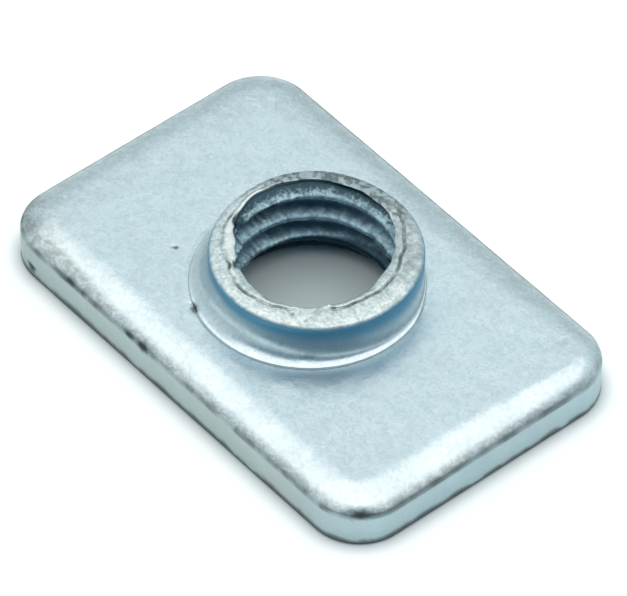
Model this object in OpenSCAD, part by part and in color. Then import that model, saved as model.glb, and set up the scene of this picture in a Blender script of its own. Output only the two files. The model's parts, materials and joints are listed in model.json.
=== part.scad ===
// Slot nut stamped from sheet steel: a rounded plate whose middle is drawn up into a tapped collar.
// The origin is the middle of the plate's underside. +X runs along the plate, +Z up the collar.

/* [Plate] */
// Length of the plate
plate_l = 22.6; // [16:0.1:40]
// Width of the plate
plate_w = 14.5; // [13:0.1:30]
// Thickness of the sheet
plate_t = 2.2; // [1.6:0.05:4]
// Radius of the plate's corners, seen from above
corner_r = 2.3; // [1.7:0.1:5]
// Width of the top edge that blanking rolled over
roll_w = 1.6; // [0.6:0.05:2.2]
// Drop of the rolled edge, down to the sheared wall
roll_drop = 0.55; // [0.15:0.05:1.2]
// Radius of the shoulder between the rolled edge and the sheared wall
shoulder_r = 0.2; // [0.05:0.01:0.5]
// Radius that breaks the bottom edge
bottom_r = 0.12; // [0.05:0.01:0.4]

/* [Collar] */
// Outside diameter of the collar
collar_d = 8.84; // [7.8:0.02:11]
// Height of the collar above the plate
collar_h = 1.88; // [1.4:0.02:5]
// Radius on the outer edge of the rim
rim_r = 0.2; // [0.05:0.01:0.3]
// How far the collar and its thread stand off the plate's middle, along the plate
collar_x = 0.15; // [-0.4:0.01:0.4]
// How far the collar and its thread stand off the plate's middle, across the plate
collar_y = 0.26; // [-0.4:0.01:0.4]

/* [Foot ring] */
// How far the pressed ring at the foot reaches out past the collar's wall
foot_reach = 0.5; // [0.4:0.05:0.7]
// Height of the crisp step from the plate up to the ring
foot_step = 0.06; // [0.02:0.01:0.2]
// Radius of the hollow sweep from the ring up to the collar's wall
sweep_r = 1.2; // [1.1:0.05:1.8]

/* [Thread] */
// Diameter at the crests of the M8 x 1.25 thread
thread_minor_d = 6.65; // [6:0.05:7.2]
// Pitch of the thread
thread_pitch = 1.25; // [0.8:0.05:1.5]
// Depth of the thread from its crests to its roots
thread_depth = 0.6; // [0.4:0.01:0.7]
// Share of the pitch that the blunt crests take
crest_share = 0.5; // [0.25:0.05:0.6]
// Share of the pitch that the roots take
root_share = 0.125; // [0.05:0.025:0.2]
// Direction, round from +X, in which a crest of the thread runs out at the rim
thread_start = 269; // [0:1:359]
// Width of the tap's chamfer at the mouth
mouth_c = 0.2; // [0.05:0.05:0.4]
// Radius of the underside where the metal was drawn in
draw_r = 1.3; // [0.2:0.05:2]

/* [Hidden] */
$fn = 96;
collar_r = collar_d / 2;
bore_r = thread_minor_d / 2;
rim_z = plate_t + collar_h;
// Arcs that run into a face or into each other rise this hair past it, so that they meet at a clean line
arc_lift = 0.002;
// Arc that leaves the top face almost level and ends at the sheared wall's upper line
roll_rise = roll_drop + arc_lift;
roll_r = (roll_w * roll_w + roll_rise * roll_rise) / (2 * roll_rise);
// From the roll's centre to the shoulder's, which touches both the roll and the wall
shoulder_in = roll_w - shoulder_r;
shoulder_reach = roll_r + arc_lift - shoulder_r;
shoulder_from_roll = [shoulder_in, sqrt(shoulder_reach * shoulder_reach - shoulder_in * shoulder_in)];
// The foot ring is centred on the plate, and its sweep starts a little inside the collar's wall all round
sweep_lap = 0.05;
foot_r = collar_r + foot_reach;
sweep_wall_r = collar_r - norm([collar_x, collar_y]) - sweep_lap;
sweep_in = sweep_wall_r + sweep_r - foot_r;
sweep_h = foot_step + sqrt(sweep_r * sweep_r - sweep_in * sweep_in);
// The drawn-in curve runs this far past the underside, so that it meets it at an angle
draw_dip = 0.05 * draw_r;
// Steps in one turn of the thread, and how far it is wound past both ends of the bore
thread_steps = 24;
thread_over = 0.2;
// The groove's section dips this far inside the bore, so that the crests stay on the bore's own cylinder
thread_dip = 0.05;
// Cuts run this far past the faces they open
over = 1;

// Radius of the groove's section across the axis, at a turn from the middle of the crest: the flanks rise
// evenly from the crest's edge to the root's
function groove_r(turn) =
  let (rise = (turn / 180 - crest_share) / (1 - root_share - crest_share))
  bore_r - thread_dip + (thread_depth + thread_dip) * min(max(rise, 0), 1);

// Quarter-round cut for an outer corner at the origin, with the solid on the side of -X and -Y
module round_cut(r) {
  translate([-r, -r])
    difference() {
      square(r + over);
      circle(r);
    }
}

// Cut for the shoulder, with the shoulder's centre at the origin
module shoulder_cut() {
  difference() {
    polygon([[0, 0], [over, 0], [over, over], over / shoulder_reach * shoulder_from_roll]);
    circle(shoulder_r);
  }
}

// Section of the plate from a line inside it out to the edge, at x = reach
module edge_section(reach) {
  roll_centre = [reach - roll_w, plate_t + arc_lift - roll_r];
  difference() {
    intersection() {
      square([reach, plate_t]);
      union() {
        square([reach - roll_w, plate_t]);
        translate(roll_centre) circle(roll_r);
      }
    }
    translate(roll_centre + shoulder_from_roll) shoulder_cut();
    translate([reach, 0]) mirror([0, 1]) round_cut(bottom_r);
  }
}

// Blanked plate: the middle with both long edges, the two short edges and the four corners
module plate() {
  rotate([90, 0, 90])
    linear_extrude(plate_l - 2 * corner_r, center = true) {
      edge_section(plate_w / 2);
      mirror([1, 0]) edge_section(plate_w / 2);
    }
  for (end = [0, 1])
    mirror([end, 0, 0]) {
      translate([plate_l / 2 - corner_r, 0, 0])
        rotate([90, 0, 0])
          linear_extrude(plate_w - 2 * corner_r, center = true)
            edge_section(corner_r);
      for (side = [0, 1])
        mirror([0, side, 0])
          translate([plate_l / 2 - corner_r, plate_w / 2 - corner_r, 0])
            rotate_extrude(angle = 90)
              edge_section(corner_r);
    }
}

// Pressed ring at the collar's foot, with its hollow sweep
module foot_ring() {
  translate([0, 0, plate_t])
    rotate_extrude()
      difference() {
        translate([0, -plate_t / 2]) square([foot_r, plate_t / 2 + sweep_h]);
        translate([sweep_wall_r + sweep_r, sweep_h]) circle(sweep_r);
      }
}

// Drawn collar, solid until the bore is cut
module collar() {
  rotate_extrude()
    difference() {
      translate([0, plate_t / 2]) square([collar_r, rim_z - plate_t / 2]);
      translate([collar_r, rim_z]) round_cut(rim_r);
    }
}

// Bore at the thread's crests, its chamfered mouth and the drawn-in underside
module bore_cut() {
  rotate_extrude() {
    translate([0, -over]) square([bore_r, rim_z + 2 * over]);
    translate([0, rim_z - mouth_c])
      polygon([[0, 0], [bore_r, 0], [bore_r + mouth_c + over, mouth_c + over], [0, mouth_c + over]]);
    difference() {
      translate([0, -over]) square([bore_r + draw_r, over + draw_r - draw_dip]);
      translate([bore_r + draw_r, draw_r - draw_dip]) circle(draw_r);
    }
  }
}

// Groove of the right-hand thread, wound up through the bore
module thread_cut() {
  wound = rim_z + 2 * thread_over;
  turns = wound / thread_pitch;
  step = 360 / thread_steps;
  translate([0, 0, -thread_over])
    rotate(thread_start - 360 * (rim_z + thread_over) / thread_pitch)
      linear_extrude(wound, twist = -360 * turns, slices = ceil(thread_steps * turns), $fn = thread_steps)
        polygon([for (a = [0:step:359]) groove_r(min(a, 360 - a)) * [cos(a), sin(a)]]);
}

module slot_nut() {
  color("lightsteelblue")
    difference() {
      union() {
        plate();
        foot_ring();
        translate([collar_x, collar_y, 0]) collar();
      }
      translate([collar_x, collar_y, 0]) {
        bore_cut();
        thread_cut();
      }
    }
}

slot_nut();
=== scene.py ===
import json
import math

import bmesh
import bpy
from mathutils import Matrix, Vector, noise


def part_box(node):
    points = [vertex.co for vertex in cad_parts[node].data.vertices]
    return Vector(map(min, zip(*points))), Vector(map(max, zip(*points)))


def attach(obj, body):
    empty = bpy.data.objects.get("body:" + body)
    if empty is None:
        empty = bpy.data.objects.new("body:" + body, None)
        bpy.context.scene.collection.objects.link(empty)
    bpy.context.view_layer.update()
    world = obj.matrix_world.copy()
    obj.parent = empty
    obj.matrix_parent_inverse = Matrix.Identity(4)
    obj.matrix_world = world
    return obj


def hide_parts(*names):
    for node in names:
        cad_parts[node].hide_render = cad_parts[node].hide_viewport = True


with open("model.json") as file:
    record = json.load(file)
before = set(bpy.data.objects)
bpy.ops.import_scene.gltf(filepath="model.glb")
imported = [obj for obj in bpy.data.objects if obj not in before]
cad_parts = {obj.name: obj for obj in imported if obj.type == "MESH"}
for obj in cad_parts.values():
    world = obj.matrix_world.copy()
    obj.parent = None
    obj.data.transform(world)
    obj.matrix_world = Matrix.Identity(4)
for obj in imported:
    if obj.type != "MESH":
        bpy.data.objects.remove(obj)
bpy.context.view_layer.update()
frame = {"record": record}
mm = 0.001  # values below are in millimetres, the scene is in metres

# Sizes that the frame gives
low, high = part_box("slot_nut")
threadMount = next(m for m in frame["record"]["mounts"] if m["name"] == "thread")
plateLength = (high.x - low.x) / mm
plateWidth = (high.y - low.y) / mm
rimHeight = high.z / mm
threadAxis = Vector(threadMount["pos_m"]).to_2d() / mm
boreRadius = threadMount["dims"]["r_mm"]
print("frame: nut %.2f x %.2f x %.2f mm" % (plateLength, plateWidth, rimHeight))


# The camera, fitted to the photograph's outline
camera = dict(
    azimuth=49.35,
    elevation=46.8,
    roll=0.64,
    distance=287.5,
    aim=(-0.715, 0.871, 0.0),
    lens=401.9,
    sensor=36,
    clipStart=10,
)


def makeCamera(view):
    azimuth = math.radians(view["azimuth"])
    elevation = math.radians(view["elevation"])
    toward = Vector((math.sin(azimuth), -math.cos(azimuth), 0))
    back = toward * math.cos(elevation) + Vector((0, 0, math.sin(elevation)))
    level = Vector((math.cos(azimuth), math.sin(azimuth), 0))
    right = Matrix.Rotation(-math.radians(view["roll"]), 3, -back) @ level
    up = back.cross(right)
    data = bpy.data.cameras.new("camera")
    data.lens = view["lens"]
    data.sensor_width = view["sensor"]
    data.clip_start = view["clipStart"] * mm
    obj = bpy.data.objects.new("camera", data)
    turn = Matrix((right, up, back)).transposed().to_4x4()
    obj.matrix_world = Matrix.Translation((Vector(view["aim"]) + back * view["distance"]) * mm) @ turn
    bpy.context.scene.collection.objects.link(obj)
    bpy.context.scene.camera = obj
    return back


towardCamera = makeCamera(camera)
imageRight = camera["azimuth"]  # azimuth, on the nut, of the picture's right-hand side
print("camera: set")


def ease(start, end, x):
    t = min(max((x - start) / (end - start), 0), 1)
    return t * t * (3 - 2 * t)


def within(angle, start, end, soft):
    half = (end - start) / 2
    off = abs((angle - (start + half) + 180) % 360 - 180)
    return 1 - ease(half - soft, half + soft, off)


seedShift = (7.3, 3.1, 5.7)  # each seed reads the noise this far from the last one


def rough(x, y, z, size, seed):
    return noise.noise(Vector((x, y, z)) / size + Vector([seed * shift for shift in seedShift]))


def roughLayers(layers, x, y, z):
    return sum(depth * rough(x, y, z, size, seed) for depth, size, seed in layers)


def onCircle(azimuth, radius):
    angle = math.radians(azimuth)
    return radius * math.cos(angle), radius * math.sin(angle)


def arcPoint(start, end, t):
    return onCircle(start + (end - start) * t, 1)


def follow(rows, angle):
    for first, second in zip(rows, rows[1:] + [(rows[0][0] + 360, *rows[0][1:])]):
        off = (angle - first[0]) % 360
        if off <= second[0] - first[0]:
            t = ease(0, second[0] - first[0], off)
            return [a + (b - a) * t for a, b in zip(first[1:], second[1:])]


# The nut: one sheet, blanked, drawn and tapped.
# A span holds two picture angles, with 0 at the right and 90 at the back, and how softly it ends.
# Rough layers hold a depth, a size and a seed each.
plate = dict(
    thickness=2.2,
    cornerRadius=2.3,
    rollWidth=1.6,  # top edge that blanking rolled over
    rollNarrow=0.65,  # share of that width that is left at the right-hand corner
    narrowAlong=(7, 0.4),  # distance from that end: where the narrowing starts, and where it is full
    narrowAcross=(-2, 6.5),  # the same across the plate, from its middle
    rollDrop=0.55,
    shoulderRadius=0.2,  # from the roll into the sheared wall
    bottomRadius=0.12,
    dents=((1.1, 0.014), (0.4, 0.009)),  # size and depth of the shallow dents from tumbling
    dentSeed=11,
)
collar = dict(
    radius=4.42,
    rimRadius=0.2,
    rimWear=0.02,  # room for the burrs under the overall height
    burrs=((0.015, 0.4, 3), (0.014, 0.15, 4)),
    rimNibble=0.03,  # how far the edge of the rim is worn in, here more and there less
    nibbleGrain=(0.3, 5),  # size and seed
    nibbleRadius=4,  # radius at which it is read
    rimCrown=0.09,  # how far the rim falls off, from the next radius outwards
    crownStart=3.6,
    rimSpread=0.16,  # how far the rim is spread outwards at the far side
    spreadSpan=(72, 122, 22),
    footReach=0.48,
    footFlat=0.12,  # how far the ring is flattened at the right-hand side
    flatSpan=(-20, 50, 14),
    footStep=0.06,
    sweepRadius=1.2,
    sweepLap=0.05,
    smoothWall=0.15,  # the wall and the sweep run into each other from this share of the wall
    smoothSweep=0.8,  # down to this share of the sweep
    smoothTurns=70,
    drawRadius=1.3,  # underside, where the metal was drawn in
    drawShift=0.85,  # how far this curve's middle keeps to the plate's: 1 is the plate's, 0 the thread's
    creaseDepth=0.04,  # pressed line around the ring, which fades out on the far side
    creaseWidth=0.08,
    creaseStep=0.4,  # share of this width in which the foot's step falls to the plate
    creaseFar=0.15,
    creaseSpan=(198, 345, 12),
)
thread = dict(
    pitch=1.25,
    crestRadius=3.28,
    majorRadius=4.0,
    crestDepth=0.45,  # first crest below the rim, at the far side
    crestFlat=0.06,  # half the width of a crest
    flankAngle=30,
    flankRound=0.4,  # 0 for straight flanks, 1 for round ones
    torn=((0.05, 0.4, 1), (0.04, 0.16, 6)),
    tornRadius=3.5,  # radius at which the torn metal is read
)
mouth = dict(
    rows=[  # picture angle, radius of the seam, radius of the edge, drop of the edge, depth of the seam
        (45, 3.68, 3.60, 0.03, 0.0),
        (68, 3.82, 3.76, 0.03, 0.0),
        (94, 3.99, 3.93, 0.03, 0.0),
        (112, 4.08, 3.96, 0.08, 0.0),
        (130, 4.19, 3.99, 0.05, 0.03),
        (146, 4.02, 3.80, 0.05, 0.03),
        (153, 3.97, 3.75, 0.25, 0.1),  # dark dip between the two bright facets
        (160, 3.97, 3.58, 0.09, 0.05),
        (173, 3.90, 3.30, 0.09, 0.05),
        (188, 3.74, 3.28, 0.09, 0.05),
        (195, 3.62, 3.45, 0.25, 0.1),  # notch where the facet ends
        (200, 3.72, 3.26, 0.1, 0.05),
        (217, 3.78, 3.28, 0.08, 0.09),
        (235, 3.64, 3.35, 0.08, 0.1),
        (252, 3.55, 3.34, 0.06, 0.1),
        (257, 3.40, 3.36, 0.02, 0.0),  # the lip is broken off here
        (268, 3.35, 3.31, 0.02, 0.0),
        (278, 3.22, 3.17, 0.02, 0.0),
        (282, 3.40, 3.13, 0.06, 0.1),
        (305, 3.36, 3.07, 0.08, 0.1),
        (330, 3.44, 2.95, 0.08, 0.09),
        (352, 3.44, 3.08, 0.08, 0.09),
        (368, 3.62, 3.21, 0.08, 0.09),
        (390, 3.90, 3.48, 0.06, 0.08),
        (396, 3.70, 3.57, 0.03, 0.0),
    ],
    seamHalf=0.1,  # half the seam's width
    blend=(0.03, 0.3),  # depth below the edge over which the edge runs into the thread
    ragged=((0.05, 0.45, 2),),
    edgeRagged=0.6,  # share of it that the edge takes
)
nutMesh = dict(
    segments=440,
    rings=(
        ("bore", 52), ("lip", 7), ("seam", 4), ("rim", 12), ("rimRound", 5),
        ("wall", 10), ("sweep", 14), ("crease", 5),
        ("top", 32), ("roll", 16), ("shoulder", 8), ("side", 9), ("bottomRound", 4),
        ("under", 9), ("draw", 26),
    ),
    mouthZones=("bore", "lip", "seam", "rim", "rimRound"),
    footZones=("wall", "sweep", "crease"),
    undersideZones=("under", "draw"),
    dentedZones=("top", "roll", "shoulder", "side"),
)
rollRadius = (plate["rollWidth"] ** 2 + plate["rollDrop"] ** 2) / (2 * plate["rollDrop"])
rollCentre = plate["thickness"] - rollRadius
shoulderIn = plate["rollWidth"] - plate["shoulderRadius"]
shoulderReach = rollRadius - plate["shoulderRadius"]
shoulderHeight = rollCentre + math.sqrt(shoulderReach ** 2 - shoulderIn ** 2)
shoulderTilt = math.asin(shoulderIn / shoulderReach)
rimTop = rimHeight - collar["rimWear"]
footRadius = collar["radius"] + collar["footReach"]
sweepWall = collar["radius"] - threadAxis.length - collar["sweepLap"]
sweepIn = sweepWall + collar["sweepRadius"] - footRadius
sweepTop = plate["thickness"] + collar["footStep"] + math.sqrt(collar["sweepRadius"] ** 2 - sweepIn ** 2)
threadDepth = thread["majorRadius"] - thread["crestRadius"]


def outlinePoint(share):
    radius = plate["cornerRadius"]
    halfShort = plateWidth / 2 - radius
    halfLong = plateLength / 2 - radius
    arc = math.pi / 2 * radius
    quarter, along = divmod(share * 4, 1)
    walk = (along if quarter % 2 == 0 else 1 - along) * (halfShort + arc + halfLong)
    turn = min(max(walk - halfShort, 0), arc) / radius
    normal = Vector((math.cos(turn), math.sin(turn)))
    point = Vector((halfLong - max(walk - halfShort - arc, 0), min(walk, halfShort))) + normal * radius
    sign = Vector(((1, 1), (-1, 1), (-1, -1), (1, -1))[int(quarter) % 4])
    return point * sign, normal * sign


def threadRadius(azimuth, z):
    crest = rimHeight - thread["crestDepth"] + thread["pitch"] * (azimuth - imageRight - 90) / 360
    off = abs(((z - crest) / thread["pitch"] + 0.5) % 1 - 0.5) * thread["pitch"]
    rise = (off - thread["crestFlat"]) / (threadDepth * math.tan(math.radians(thread["flankAngle"])))
    flank = thread["flankRound"] * ease(0, 1, rise) + (1 - thread["flankRound"]) * min(max(rise, 0), 1)
    torn = roughLayers(thread["torn"], *onCircle(azimuth, thread["tornRadius"]), z)
    return thread["crestRadius"] + threadDepth * flank + torn


def mouthRow(azimuth):
    seam, edge, drop, depth = follow(mouth["rows"], azimuth - imageRight)
    ragged = roughLayers(mouth["ragged"], *onCircle(azimuth, thread["tornRadius"]), 0)
    return seam + ragged, edge + mouth["edgeRagged"] * ragged, drop, depth


def rimReach(azimuth):
    return collar["radius"] + collar["rimSpread"] * within(azimuth - imageRight, *collar["spreadSpan"])


def footReach(azimuth):
    return footRadius - collar["footFlat"] * within(azimuth - imageRight, *collar["flatSpan"])


def rimLevel(azimuth, radius):
    burr = min(roughLayers(collar["burrs"], *onCircle(azimuth, radius), 0), collar["rimWear"])
    start = collar["crownStart"]
    crown = max((radius - start) / (rimReach(azimuth) - start), 0) ** 2 * collar["rimCrown"]
    return rimTop + burr - crown


def creaseShare(azimuth):
    near = within(azimuth - imageRight, *collar["creaseSpan"])
    return collar["creaseFar"] + (1 - collar["creaseFar"]) * near


def sweepHeight(point):
    out = min(sweepWall + collar["sweepRadius"] - point.length, collar["sweepRadius"])
    return sweepTop - math.sqrt(collar["sweepRadius"] ** 2 - out ** 2)


def rollInset(edge, tilt):
    corner = ease(*plate["narrowAlong"], plateLength / 2 - edge.x) * ease(*plate["narrowAcross"], edge.y)
    share = 1 - (1 - plate["rollNarrow"]) * corner
    last = plate["shoulderRadius"] * (1 - math.sin(shoulderTilt))
    return last + (plate["rollWidth"] - rollRadius * math.sin(tilt) - last) * share


# Radius and height of the bore and the rim, around the thread's axis
def mouthPoint(zone, t, azimuth, ray):
    seam, edge, drop, depth = mouths[azimuth]
    reach = rimReach(azimuth)
    nibble = collar["rimNibble"] * (1 + rough(*(collar["nibbleRadius"] * ray), 0, *collar["nibbleGrain"]))
    rimEnd = reach - collar["rimRadius"] - nibble
    seamStart = max(seam - mouth["seamHalf"], edge)
    seamEnd = min(seamStart + 2 * mouth["seamHalf"], rimEnd - collar["rimNibble"])
    if zone == "bore":
        z = collar["drawRadius"] + (rimTop - drop - collar["drawRadius"]) * t
        radius = threadRadius(azimuth, z)
        return radius + (edge - radius) * (1 - ease(*mouth["blend"], rimTop - drop - z)), z
    if zone == "lip":
        radius = edge + (seamStart - edge) * t
        return radius, rimLevel(azimuth, radius) - drop * (1 - t) ** 2
    if zone == "seam":
        radius = seamStart + (seamEnd - seamStart) * t
        return radius, rimLevel(azimuth, radius) - depth * math.sin(math.pi * t) ** 2
    if zone == "rim":
        radius = seamEnd + (rimEnd - seamEnd) * t
        return radius, rimLevel(azimuth, radius)
    across, up = arcPoint(90, 0, t)
    radius = reach - collar["rimRadius"] * (1 - across) - nibble * up
    return radius, rimLevel(azimuth, rimEnd) - collar["rimRadius"] * (1 - up)


def footPoint(zone, t, azimuth, ray):
    foot = ray * footReach(azimuth)
    wall = threadAxis + ray * rimReach(azimuth)
    if zone == "wall":
        top = rimTop - collar["rimCrown"] / 2 - collar["rimRadius"]
        return wall, top + (sweepHeight(wall) - top) * t
    if zone == "sweep":
        point = wall.lerp(foot, t)
        return point, sweepHeight(point)
    pressed = creaseShare(azimuth) * collar["creaseDepth"] * math.sin(math.pi * t) ** 2
    step = (sweepHeight(foot) - plate["thickness"]) * max(1 - t / collar["creaseStep"], 0)
    return foot + ray * collar["creaseWidth"] * t, plate["thickness"] + step - pressed


def platePoint(zone, t, azimuth, ray, edge, normal):
    if zone == "top":
        inner = ray * (footReach(azimuth) + collar["creaseWidth"])
        return inner.lerp(edge - normal * rollInset(edge, 0), t), plate["thickness"]
    if zone == "roll":
        tilt = shoulderTilt * t
        return edge - normal * rollInset(edge, tilt), rollCentre + rollRadius * math.cos(tilt)
    if zone == "shoulder":
        across, up = arcPoint(90 - math.degrees(shoulderTilt), 0, t)
        inset = plate["shoulderRadius"] * (1 - across)
        return edge - normal * inset, shoulderHeight + plate["shoulderRadius"] * up
    if zone == "side":
        return edge, shoulderHeight + (plate["bottomRadius"] - shoulderHeight) * t
    across, up = arcPoint(0, -90, t)
    return edge - normal * plate["bottomRadius"] * (1 - across), plate["bottomRadius"] * (1 + up)


def undersidePoint(zone, t, azimuth, ray, edge, normal):
    middle = threadAxis * (1 - collar["drawShift"])
    if zone == "under":
        hole = middle + ray * (boreRadius + collar["drawRadius"])
        return (edge - normal * plate["bottomRadius"]).lerp(hole, t), 0
    across, up = arcPoint(-90, -180, t)
    z = collar["drawRadius"] * (1 + up)
    flared = middle.lerp(threadAxis, t ** 2) + ray * (boreRadius + collar["drawRadius"] * (1 + across))
    radius = max((flared - threadAxis).length, threadRadius(azimuth, z))
    return threadAxis + (flared - threadAxis).normalized() * radius, z


def nutPoint(zone, t, segment):
    azimuth = azimuths[segment]
    ray = Vector(onCircle(azimuth, 1))
    if zone in nutMesh["mouthZones"]:
        radius, z = mouthPoint(zone, t, azimuth, ray)
        return threadAxis + ray * radius, z
    if zone in nutMesh["footZones"]:
        return footPoint(zone, t, azimuth, ray)
    if zone in nutMesh["undersideZones"]:
        return undersidePoint(zone, t, azimuth, ray, *outline[segment])
    return platePoint(zone, t, azimuth, ray, *outline[segment])


outline = [outlinePoint(k / nutMesh["segments"]) for k in range(nutMesh["segments"])]
azimuths = [360 * k / nutMesh["segments"] for k in range(nutMesh["segments"])]
mouths = {azimuth: mouthRow(azimuth) for azimuth in azimuths}
stations = [(zone, i / count) for zone, count in nutMesh["rings"] for i in range(count)]
leftCorner = Vector((-plateLength / 2, -plateWidth / 2))
rightCorner = Vector((plateLength / 2, plateWidth / 2))


def nearestAzimuth(point):
    ray = point - threadAxis
    share = math.atan2(ray.y, ray.x) / (2 * math.pi)
    return azimuths[round(share * nutMesh["segments"]) % nutMesh["segments"]]


# Wear and grime, with painted shade on edges turned from the camera and in lines and creases. A band holds
# shares of the way across a zone, and a reach is a distance from a corner.
edgeWearAndShade = dict(
    facingAway=(-0.1, 0.7),  # from where to where an edge counts as turned from the camera, which darkens it with painted shade
    # painted shade, in the worn tone, on the edges turned from the camera
    away=0.85,
    leftReach=(1.5, 4.5),
    topBand=(0.72, 1.0),
    top=0.45,
    topLeft=0.6,
    roll=0.3,
    scuff=0.95,
    scuffStart=0.68,
    scuffSooner=0.3,  # how much further in the scuffs reach at the left end
    scuffAlong=(-10, -2),
    scuffWidth=0.25,
    scuffAway=0.7,  # how much of them is missing on the far edges
    wall=0.4,
)


def wearAndShadeOf(zone, t, normal, point):
    look = edgeWearAndShade
    # edges turned from the camera get painted shade; the left end has real wear
    away = ease(*look["facingAway"], -normal.dot(towardCamera.to_2d().normalized()))
    leftEnd = 1 - ease(*look["leftReach"], (point - leftCorner).length)
    amount = max(look["away"] * away, leftEnd)
    if zone == "top":
        return max(amount * ease(*look["topBand"], t) * look["top"], leftEnd * look["topLeft"])
    if zone == "roll":
        sooner = look["scuffSooner"] * (1 - ease(*look["scuffAlong"], point.x))
        start = look["scuffStart"] - sooner
        scuffed = ease(start, start + look["scuffWidth"], t) * (1 - look["scuffAway"] * away)
        return max(look["roll"] * amount * (1 + t), look["scuff"] * scuffed, leftEnd * (1 + t) / 2)
    return max(amount, look["wall"]) if zone in ("shoulder", "side", "bottomRound") else 0


edgeGrimeAndShade = dict(
    patches=((1, 0.7, 8), (0.5, 0.25, 8)),
    longSide=(-6.2, -5.5),  # y at which the near long edge begins
    # painted shade along the shear line, where the roll turns into the wall
    shearLine=0.56,
    shearRight=0.3,  # how much weaker the shear line is at the right-hand corner
    shearLong=0.1,  # and along the near long edge
    shearPatches=0.15,
    longPatches=0.2,
    rightReach=(1.2, 3),
    rollBand=(0.88, 1),
    upperSide=0.2,  # how far the shear line reaches down the wall
    # painted shade line along the near side of the rim's outer edge
    rimLine=0.4,
    rimBand=(0.4, 0.9),
    rimSpan=(205, 335, 25),
    scuff=0.45,
    scuffAlong=(-9, -1),
    scuffBand=(0.45, 0.75),
    left=0.25,
    leftReach=(1, 3.2),
    # painted shade, darker towards the bottom of the wall
    bottom=0.75,
    bottomHeight=(0.15, 0.5),
    bottomPatches=0.25,
    # painted shade along the underside's outer edge
    under=0.4,
    underBand=(0, 0.08),
    # painted shade in the pressed crease around the foot ring
    crease=0.4,
    creaseEnd=1.2,
    # painted shade in the seam's groove, deeper where the seam is deeper
    seam=6.5,
    seamPatches=5,
)


# Real scuffs and marks, and painted shade along the shear line, the low wall, the underside's edge, the
# crease, the seam and the rim's edge
def grimeAndShadeOf(zone, t, point, z):
    look = edgeGrimeAndShade
    patchy = roughLayers(look["patches"], point.x, point.y, z)
    longSide = 1 - ease(*look["longSide"], point.y)
    rightEnd = 1 - ease(*look["rightReach"], (point - rightCorner).length)
    shearLine = look["shearLine"] - look["shearRight"] * rightEnd - look["shearLong"] * longSide
    shearLine += (look["shearPatches"] + look["longPatches"] * longSide) * patchy
    azimuth = nearestAzimuth(point)
    if zone == "rimRound":
        return look["rimLine"] * ease(*look["rimBand"], t) * within(azimuth - imageRight, *look["rimSpan"])
    if zone == "roll":
        scuffed = longSide * (1 - ease(*look["scuffAlong"], point.x)) * ease(*look["scuffBand"], t)
        leftEnd = 1 - ease(*look["leftReach"], (point - leftCorner).length)
        return max(ease(*look["rollBand"], t) * shearLine, look["scuff"] * scuffed * max(patchy, 0),
                   leftEnd * look["left"] * (1 + patchy))
    if zone == "shoulder":
        return shearLine
    if zone in ("side", "bottomRound"):
        upper = ease(shoulderHeight - look["upperSide"], shoulderHeight, z)
        start, end = look["bottomHeight"]
        lower = 1 - ease(start, end + look["bottomPatches"] * patchy, z)
        return max(upper * shearLine, lower * look["bottom"])
    if zone == "under":
        return look["under"] * (1 - ease(*look["underBand"], t))
    if zone == "crease":
        return math.sin(math.pi * min(t * look["creaseEnd"], 1)) * look["crease"] * creaseShare(azimuth)
    if zone == "seam":
        depth = mouths[azimuth][3]
        return math.sin(math.pi * t) * depth * (look["seam"] + look["seamPatches"] * patchy)
    return 0


surface = dict(
    # painted shade in the drawn throat underneath, which takes the thread's darkest root colour
    drawDark=(0.05, 0.35),
    deepening=(0.3, 1.2),  # depth below the rim over which the roots get lighter, as the painted shade under the rim fades
    # painted blue reflection of the dark surroundings on the rim's round edge, the collar's wall and the
    # sweep
    blueRim=(0.45, 0.8),
    blueWall=(0.15, 0.85),
    blueSweep=(0, 0.4),
    blueLeft=0.05,  # painted blue reflection that is left where the wall meets the sweep
    # painted reflection of the collar's wall on the plate in front of it
    bluePlate=0.16,
    bluePlateBand=(0.02, 0.28),
    bluePlateSpan=(230, 345, 25),
    # painted highlights on the mouth's facets and on the rim's near side
    facetSpans=((118, 148, 3), (157, 193, 3)),
    facetLap=0.1,  # how far the painted highlight on the facets reaches past the lip
    rimShine=0.15,
    rimShineBand=(0.2, 0.7),
    rimShineSpan=(205, 335, 20),
    pitted=((0.3, (-25, 35, 12)), (1, (35, 128, 20))),  # strength and span of the pits, and of the painted shade on the rim's far side
    pittedLeast=0.12,
)


# What the material reads from each vertex, besides wear, grime and their painted shade; some of it is
# painted reflection, highlight and shade as well
def surfaceOf(zone, t, point, z):
    look = surface
    picture = nearestAzimuth(point) - imageRight
    inBore = zone == "bore"
    blueLeft = look["blueLeft"]
    plateTint = look["bluePlate"] * within(picture, *look["bluePlateSpan"])
    blued = {
        "rimRound": ease(*look["blueRim"], t),
        "wall": 1 - (1 - blueLeft) * ease(*look["blueWall"], t),
        "sweep": blueLeft * (1 - ease(*look["blueSweep"], t)),
        "top": plateTint * (1 - ease(*look["bluePlateBand"], t)),
    }
    facetHighlights = sum(within(picture, *span) for span in look["facetSpans"])
    lap = look["facetLap"]
    rimShine = look["rimShine"] * within(picture, *look["rimShineSpan"])
    highlights = {
        "lip": facetHighlights * math.sin(math.pi * (t + lap) / (1 + 2 * lap)),
        "rim": rimShine * ease(*look["rimShineBand"], t),
    }
    pitted = look["pittedLeast"] + sum(share * within(picture, *span) for share, span in look["pitted"])
    return {
        "rim": 1 if zone in ("lip", "seam", "rim", "rimRound") else 0,
        # the drawn throat takes the thread's dark colour: painted shade
        "bore": {"bore": 1, "draw": ease(*look["drawDark"], t)}.get(zone, 0),
        "groove": ((point - threadAxis).length - thread["crestRadius"]) / threadDepth if inBore else 1,
        "deep": ease(*look["deepening"], rimHeight - z) if inBore else 0,
        "side": {"side": 1, "bottomRound": 1, "shoulder": t}.get(zone, 0),
        "blued": blued.get(zone, 0),
        "facet": highlights.get(zone, 0),
        "pitted": min(pitted, 1),
    }


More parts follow.
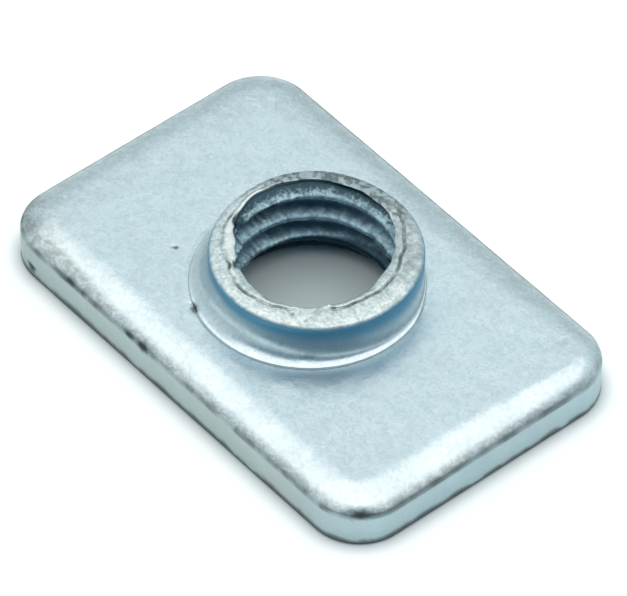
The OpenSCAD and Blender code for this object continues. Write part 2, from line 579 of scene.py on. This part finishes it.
marks = [  # place, heading, reach along it and across it, depth of the dent, darkness
    ((10.62, -6.35, 1.62), 45, (0.7, 0.3), 0.05, 0.85),  # gouge at the near corner
    ((-2.75, -7.2, 1.62), 0, (0.45, 0.2), 0.03, 0.85),  # nicks in the shear line
    ((-1.9, -7.2, 1.60), 0, (0.5, 0.26), 0.05, 0.95),
    ((-6.6, -7.2, 1.65), 0, (0.55, 0.2), 0.03, 0.85),
    ((-9.1, -7.2, 0.55), 0, (0.45, 0.26), 0.03, 0.85),
    ((-4.96, -2.98, 2.2), 0, (0.16, 0.16), 0.02, 0.85),  # speck on the plate
    ((-1.81, -4.58, 2.25), -25, (0.4, 0.17), 0.05, 0.85),  # nick in the foot ring
    ((3.44, -3.01, 2.6), 49, (0.75, 0.2), 0.01, 0.5),  # painted shade in the crease at the foot of the collar's wall
    ((-7.7, -3.31, 2.2), -32, (0.55, 0.09), 0.01, 0.3),  # scratches on the plate
    ((-6.84, -3.83, 2.2), -30, (0.55, 0.09), 0.01, 0.3),
    ((-8.62, 5.48, 2.15), -43, (0.85, 0.09), 0.01, 0.35),
    ((-5.8, 6.33, 2.2), -52, (0.55, 0.09), 0.01, 0.35),
    ((-10.23, 5.03, 2.0), 52, (0.95, 0.25), 0.01, 0.3),  # scuffs along the far edges
    ((9.17, 5.65, 2.15), 69, (0.5, 0.3), 0.01, 0.3),
    ((2.29, -2.82, 4.05), 28, (0.15, 0.12), 0.02, 0.5),  # pits and scuffs in the rim
    ((2.89, -2.63, 4.02), 35, (0.14, 0.1), 0.02, 0.4),
    ((3.11, -1.35, 4.0), 39, (0.2, 0.13), 0.03, 0.6),
    ((0.75, 4.23, 4.0), 3, (0.32, 0.2), 0.02, 0.55),
    ((3.19, 2.67, 4.04), -21, (0.35, 0.22), 0.01, 0.28),
    ((3.54, 1.92, 4.04), 11, (0.35, 0.2), 0.01, 0.28),
]
markEdge = dict(
    full=0.3,  # shares of a mark's reach: up to here it is full
    end=1.2,  # here it has faded out
    limit=1.5,  # past here nothing is marked
    ragged=((0.5, 0.12, 9),),  # how far its end wanders
)


# Half section on the +X side, spun into a round nut
def spinSection(bm, ringLayer):
    section = []
    for index, (zone, t) in enumerate(stations):
        point, z = nutPoint(zone, t, 0)
        vert = bm.verts.new((point.length * mm, 0, z * mm))
        vert[ringLayer] = index
        section.append(vert)
    edges = [bm.edges.new((a, b)) for a, b in zip(section, section[1:] + section[:1])]
    bmesh.ops.spin(bm, geom=section + edges, axis=(0, 0, 1), cent=(0, 0, 0), angle=2 * math.pi,
                   steps=nutMesh["segments"], use_merge=True, use_duplicate=False)


# From the round nut to the real outline, with what the material reads
def shapeNut(bm, ringLayer, layers):
    junction = []
    for vert in bm.verts:
        zone, t = stations[vert[ringLayer]]
        turn = math.atan2(vert.co.y, vert.co.x) / (2 * math.pi)
        segment = round(turn * nutMesh["segments"]) % nutMesh["segments"]
        point, z = nutPoint(zone, t, segment)
        vert.co = Vector((point.x, point.y, z)) * mm
        looks = surfaceOf(zone, t, point, z)
        looks["wear"] = wearAndShadeOf(zone, t, outline[segment][1], point)
        looks["grime"] = grimeAndShadeOf(zone, t, point, z)
        for name, layer in layers.items():
            vert[layer] = looks[name]
        onWall = zone == "wall" and t > collar["smoothWall"]
        if onWall or (zone == "sweep" and t < collar["smoothSweep"]):
            junction.append(vert)
    for _ in range(collar["smoothTurns"]):
        bmesh.ops.smooth_vert(bm, verts=junction, factor=0.5,
                              use_axis_x=True, use_axis_y=True, use_axis_z=True)


def dentPlate(bm, ringLayer):
    for vert in bm.verts:
        if stations[vert[ringLayer]][0] in nutMesh["dentedZones"]:
            for size, depth in plate["dents"]:
                share = 0.5 + 0.5 * rough(*(vert.co / mm), size, plate["dentSeed"])
                vert.co -= vert.normal * depth * share * mm


def strikeMarks(bm, grimeAndShadeLayer):
    for at, heading, (along, across), dent, dark in marks:
        turn = Matrix.Rotation(-math.radians(heading), 3, "Z")
        for vert in bm.verts:
            off = turn @ (vert.co / mm - Vector(at))
            near = math.hypot(off.x / along, math.hypot(off.y, off.z) / across)
            if near < markEdge["limit"]:
                end = markEdge["end"] + roughLayers(markEdge["ragged"], *(vert.co / mm))
                fall = 1 - ease(markEdge["full"], end, near)
                vert.co -= vert.normal * dent * fall * mm
                vert[grimeAndShadeLayer] = max(vert[grimeAndShadeLayer], dark * fall)


def makeNut():
    bm = bmesh.new()
    ringLayer = bm.verts.layers.int.new("ring")
    spinSection(bm, ringLayer)
    names = ("wear", "grime", "rim", "pitted", "groove", "deep", "bore", "side", "blued", "facet")
    layers = {name: bm.verts.layers.float.new(name) for name in names}
    shapeNut(bm, ringLayer, layers)
    bmesh.ops.recalc_face_normals(bm, faces=bm.faces)
    bm.normal_update()
    dentPlate(bm, ringLayer)
    strikeMarks(bm, layers["grime"])
    for face in bm.faces:
        face.smooth = True
    mesh = bpy.data.meshes.new("slotNut")
    bm.to_mesh(mesh)
    bm.free()
    obj = bpy.data.objects.new("slotNut", mesh)
    bpy.context.scene.collection.objects.link(obj)
    return obj


# Shader maths: a wire holds a socket, and an expression on wires adds the nodes
class Wire:
    def __init__(self, tree, socket=None):
        self.tree = tree
        self.socket = socket

    def add(self, kind, settings=None, sockets=None, out=0):
        node = self.tree.nodes.new(kind)
        for name, value in (settings or {}).items():
            setattr(node, name, value)
        for name, value in (sockets or {}).items():
            if isinstance(value, Wire):
                self.tree.links.new(value.socket, node.inputs[name])
            else:
                node.inputs[name].default_value = value
        return Wire(self.tree, node.outputs[out])

    def maths(self, operation, first, second):
        return self.add("ShaderNodeMath", {"operation": operation}, {0: first, 1: second})

    def __add__(self, other):
        return self.maths("ADD", self, other)

    def __sub__(self, other):
        return self.maths("SUBTRACT", self, other)

    def __rsub__(self, other):
        return self.maths("SUBTRACT", other, self)

    def __mul__(self, other):
        return self.maths("MULTIPLY", self, other)

    def __truediv__(self, other):
        return self.maths("DIVIDE", self, other)

    __radd__ = __add__
    __rmul__ = __mul__

    def step(self, start, end):
        settings = {"interpolation_type": "SMOOTHSTEP"}
        return self.add("ShaderNodeMapRange", settings, {0: self, 1: start, 2: end})

    def mixColour(self, factor, first, second):
        return self.add("ShaderNodeMix", {"data_type": "RGBA"}, {0: factor, 6: first, 7: second}, out=2)

    def noise(self, place, size, detail, distortion=0):
        values = {"Vector": place, "Scale": 1 / (size * mm), "Detail": detail, "Distortion": distortion}
        return self.add("ShaderNodeTexNoise", None, values)

    def vectorMaths(self, operation, first, second):
        return self.add("ShaderNodeVectorMath", {"operation": operation}, {0: first, 1: second})

    def stretch(self, factors):
        return self.vectorMaths("MULTIPLY", self, factors)

    def turned(self, degrees):
        sockets = {"Vector": self, "Angle": math.radians(degrees)}
        return self.add("ShaderNodeVectorRotate", {"rotation_type": "Z_AXIS"}, sockets)

    def line(self, width):
        return self.maths("ABSOLUTE", self - 0.5, 0).step(width, 0)

    def attribute(self, name):
        return self.add("ShaderNodeAttribute", {"attribute_name": name}, out="Fac")

    def dot(self, first, second):
        settings = {"operation": "DOT_PRODUCT"}
        return self.add("ShaderNodeVectorMath", settings, {0: first, 1: second}, out="Value")


zinc = dict(
    colour=(0.54, 0.64, 0.672, 1),
    dull=(0.42, 0.515, 0.55, 1),
    bright=(0.68, 0.76, 0.78, 1),
    # worn metal, also used for the painted shade on the far edges
    worn=(0.31, 0.36, 0.36, 1),
    side=(0.47, 0.55, 0.54, 1),
    sideBlue=(0.455, 0.595, 0.635, 1),
    rim=(0.58, 0.665, 0.665, 1),
    rimGrey=(0.37, 0.45, 0.455, 1),
    # painted shade on the rim's far side
    rimFar=(0.31, 0.385, 0.405, 1),
    rimDark=(0.13, 0.165, 0.175, 1),
    # painted highlight
    facet=(0.62, 0.67, 0.665, 1),
    # painted blue reflection
    blued=(0.11, 0.30, 0.44, 1),
    crest=(0.34, 0.50, 0.56, 1),
    root=(0.13, 0.23, 0.29, 1),
    # painted shade under the rim and in the drawn throat
    firstRoot=(0.03, 0.06, 0.078, 1),
    # dark of the grime, and of the painted shade
    grime=(0.05, 0.06, 0.06, 1),
    roughness=0.25,
    cloudSize=1.4,
    blotchSize=0.45,
    grainSize=0.13,
    pitSize=0.26,
    strokes=0.2,  # strength of the fine dark strokes
    strokeSize=0.3,
    strokeTurn=40,
    strokeStretch=(1, 0.25, 1),
    strokeWidth=0.02,
    scrapeSize=0.5,
    scrapeTurn=-25,
    scrapeStretch=(0.6, 1, 1),
    streakSize=0.3,
    streakStretch=(1, 1, 0.15),
    specks=0.45,  # strength of the bright specks
    speckSize=0.3,
    endReach=(7, 11.2),  # x over which the walls turn to their bluish tone
    endPatchSize=1.2,
    bumpStrength=0.25,
    bumpHeight=0.03,
)


def zincMaterial():
    material = bpy.data.materials.new("zincPlate")
    material.use_nodes = True
    tree = material.node_tree
    shader = tree.nodes["Principled BSDF"]
    wire = Wire(tree)
    place = wire.add("ShaderNodeTexCoord", out="Object")
    wear, grime, rim = wire.attribute("wear"), wire.attribute("grime"), wire.attribute("rim")
    groove, bore, side = wire.attribute("groove"), wire.attribute("bore"), wire.attribute("side")
    deep = wire.attribute("deep")
    blued, facet, pitted = wire.attribute("blued"), wire.attribute("facet"), wire.attribute("pitted")
    cloud = wire.noise(place, zinc["cloudSize"], 4).step(0.3, 0.7)
    blotch = wire.noise(place, zinc["blotchSize"], 4, 1.5)
    grain = wire.noise(place, zinc["grainSize"], 3)
    stroked = place.turned(zinc["strokeTurn"]).stretch(zinc["strokeStretch"])
    strokes = wire.noise(stroked, zinc["strokeSize"], 2, 2).line(zinc["strokeWidth"])
    strokes = strokes * blotch.step(0.5, 0.62)
    scraped = place.turned(zinc["scrapeTurn"]).stretch(zinc["scrapeStretch"])
    scrape = wire.noise(scraped, zinc["scrapeSize"], 5, 1.2)
    streaks = wire.noise(place.stretch(zinc["streakStretch"]), zinc["streakSize"], 4)
    dulling = cloud * 0.3 + blotch.step(0.4, 0.62) * 0.4 + grain.step(0.4, 0.65) * 0.3
    colour = wire.mixColour(dulling, zinc["colour"], zinc["dull"])
    colour = wire.mixColour(strokes * zinc["strokes"], colour, zinc["worn"])
    specks = wire.noise(place, zinc["speckSize"], 2).step(0.55, 0.72) * blotch.step(0.42, 0.6)
    colour = wire.mixColour(specks * zinc["specks"], colour, zinc["bright"])
    scuffs = (scrape * 0.65 + grain * 0.35).step(0.42, 0.58)
    # wear, and painted shade on the edges turned from the camera
    colour = wire.mixColour(wear * (0.3 + 0.7 * scuffs), colour, zinc["worn"])
    endStart, endFull = zinc["endReach"]
    endOn = wire.dot(place, (1, 0, 0)).step(endStart * mm, endFull * mm)
    endOn = endOn * (0.4 + wire.noise(place, zinc["endPatchSize"], 2))
    sideTone = wire.mixColour(endOn, zinc["side"], zinc["sideBlue"])
    colour = wire.mixColour(side * (0.6 + 0.4 * streaks), colour, sideTone)
    pits = wire.noise(place, zinc["pitSize"], 1.5, 0.2).step(0.36, 0.62) * pitted
    rimTone = wire.mixColour((blotch * 0.5 + grain * 0.5).step(0.4, 0.58), zinc["rimGrey"], zinc["rim"])
    # painted shade on the rim's far side; the pits below are real
    rimTone = wire.mixColour(pitted * 0.8, rimTone, zinc["rimFar"])
    colour = wire.mixColour(rim, colour, wire.mixColour(pits, rimTone, zinc["rimDark"]))
    # painted blue reflection on the collar and on the plate at its foot
    colour = wire.mixColour(blued, colour, zinc["blued"])
    # painted highlight on the mouth's facets and the rim's near side
    colour = wire.mixColour(facet * (0.5 + grain), colour, zinc["facet"])
    torn = (groove + (blotch - 0.5) * 1.1 + (grain - 0.5) * 0.9).step(-0.25, 0.65)
    # the thread darkens from crest to root, with painted shade on the roots under the rim and in the drawn
    # throat
    rootTone = wire.mixColour(deep, zinc["firstRoot"], zinc["root"])
    colour = wire.mixColour(bore, colour, wire.mixColour(torn, zinc["crest"], rootTone))
    # grime, and painted shade in lines, creases and low on the walls
    colour = wire.mixColour(grime.step(0.05, 0.95), colour, zinc["grime"])
    tree.links.new(colour.socket, shader.inputs["Base Color"])
    roughness = zinc["roughness"] + 0.06 * cloud + 0.2 * wear + 0.15 * (rim + side + bore) + 0.2 * blued
    tree.links.new(roughness.socket, shader.inputs["Roughness"])
    shader.inputs["Metallic"].default_value = 1
    height = blotch * 0.5 + grain * (0.4 + rim + wear + bore)
    sockets = {"Strength": zinc["bumpStrength"], "Distance": zinc["bumpHeight"] * mm, "Height": height}
    bump = wire.add("ShaderNodeBump", None, sockets)
    tree.links.new(bump.socket, shader.inputs["Normal"])
    return material


nut = makeNut()
nut.data.materials.append(zincMaterial())
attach(nut, "root")
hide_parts("slot_nut")
print("nut: %d faces" % len(nut.data.polygons))


# Floor and light
studio = dict(
    floorSize=600,
    floorDrop=0.02,  # a hair under the nut, so that the two don't fight
    floorColour=(0.53, 0.64, 0.66, 1),
    backdrop=(0.46, 0.40, 0.38, 1),  # what lifts the open floor to the backdrop's white
    shadeReach=(-0.4, 0.75),  # from the nut's outline: under it and close by, the backdrop's lift is left off, which paints a darker shadow zone on the floor
    dark=(0.24, 0.37, 0.46, 1),  # where the camera stands
    darkReach=(74, 32),  # degrees from the camera: where the dark ends, and where it is full
    darkHeight=(0.12, 0.5),
    horizon=(0.70, 0.78, 0.80, 1),
    farHorizon=(0.78, 0.86, 0.87, 1),
    farReach=(-0.2, -0.7),  # towards the far side: where the far horizon begins, and where it is full
    wall=(1.01, 1.11, 1.15, 1),
    wallHeight=(0.1, 0.6),  # 1 is straight up: where the wall begins, and where it is full
    softbox=(1.92, 1.83, 1.78, 1),
    softboxLow=0.02,  # the least height at which it is worked out
    softboxWidth=(1.1, 0.85),  # half its width, for a height of one: outer edge and start of the fade
    softboxDepth=((-0.80, -0.64), (0.62, 0.46)),  # the same for its far and near edges
)


def makeFloor():
    bm = bmesh.new()
    bmesh.ops.create_grid(bm, x_segments=1, y_segments=1, size=studio["floorSize"] / 2 * mm)
    bmesh.ops.translate(bm, verts=bm.verts, vec=(0, 0, -studio["floorDrop"] * mm))
    mesh = bpy.data.meshes.new("floor")
    bm.to_mesh(mesh)
    bm.free()
    material = bpy.data.materials.new("floor")
    material.use_nodes = True
    shader = material.node_tree.nodes["Principled BSDF"]
    shader.inputs["Base Color"].default_value = studio["floorColour"]
    shader.inputs["Roughness"].default_value = 1
    shader.inputs["Specular IOR Level"].default_value = 0
    shader.inputs["Emission Strength"].default_value = 1
    wire = Wire(material.node_tree)
    place = wire.add("ShaderNodeTexCoord", out="Object")
    radius = plate["cornerRadius"]
    core = ((plateLength / 2 - radius) * mm, (plateWidth / 2 - radius) * mm, 1)
    outside = wire.vectorMaths("ABSOLUTE", place, (0, 0, 0))
    outside = wire.vectorMaths("MAXIMUM", wire.vectorMaths("SUBTRACT", outside, core), (0, 0, 0))
    distance = wire.add("ShaderNodeVectorMath", {"operation": "LENGTH"}, {0: outside}, out="Value")
    inner, outer = (radius + reach for reach in studio["shadeReach"])
    seen = [wire.add("ShaderNodeLightPath", out=name) for name in
            ("Is Camera Ray", "Is Glossy Ray", "Is Transmission Ray")]
    lift = (seen[0] + seen[1] + seen[2]) * distance.step(inner * mm, outer * mm)
    glow = wire.mixColour(lift, (0, 0, 0, 1), studio["backdrop"])
    material.node_tree.links.new(glow.socket, shader.inputs["Emission Color"])
    mesh.materials.append(material)
    floor = bpy.data.objects.new("floor", mesh)
    bpy.context.scene.collection.objects.link(floor)


def makeLight():
    world = bpy.data.worlds.new("studio")
    world.use_nodes = True
    bpy.context.scene.world = world
    tree = world.node_tree
    wire = Wire(tree)
    ray = wire.add("ShaderNodeTexCoord", out="Generated")
    forward = Vector((towardCamera.x, towardCamera.y, 0)).normalized()
    right = Vector((-forward.y, forward.x, 0))
    height = wire.dot(ray, (0, 0, 1))
    near = wire.dot(ray, tuple(forward))
    colour = wire.mixColour(near.step(*studio["farReach"]), studio["horizon"], studio["farHorizon"])
    colour = wire.mixColour(height.step(*studio["wallHeight"]), colour, studio["wall"])
    darkOuter, darkInner = (math.cos(math.radians(reach)) for reach in studio["darkReach"])
    darkness = wire.dot(ray, tuple(towardCamera)).step(darkOuter, darkInner)
    darkness = darkness * height.step(*studio["darkHeight"])
    colour = wire.mixColour(darkness, colour, studio["dark"])
    overHead = height.maths("MAXIMUM", height, studio["softboxLow"])
    across = wire.dot(ray, tuple(right)) / overHead
    along = near / overHead
    (farOuter, farInner), (nearOuter, nearInner) = studio["softboxDepth"]
    box = across.maths("ABSOLUTE", across, 0).step(*studio["softboxWidth"])
    box = box * along.step(farOuter, farInner) * along.step(nearOuter, nearInner)
    colour = wire.mixColour(box, colour, studio["softbox"])
    tree.links.new(colour.socket, tree.nodes["Background"].inputs["Color"])


makeFloor()
makeLight()
bpy.context.scene.view_settings.view_transform = "Standard"
print("studio: floor and light set")
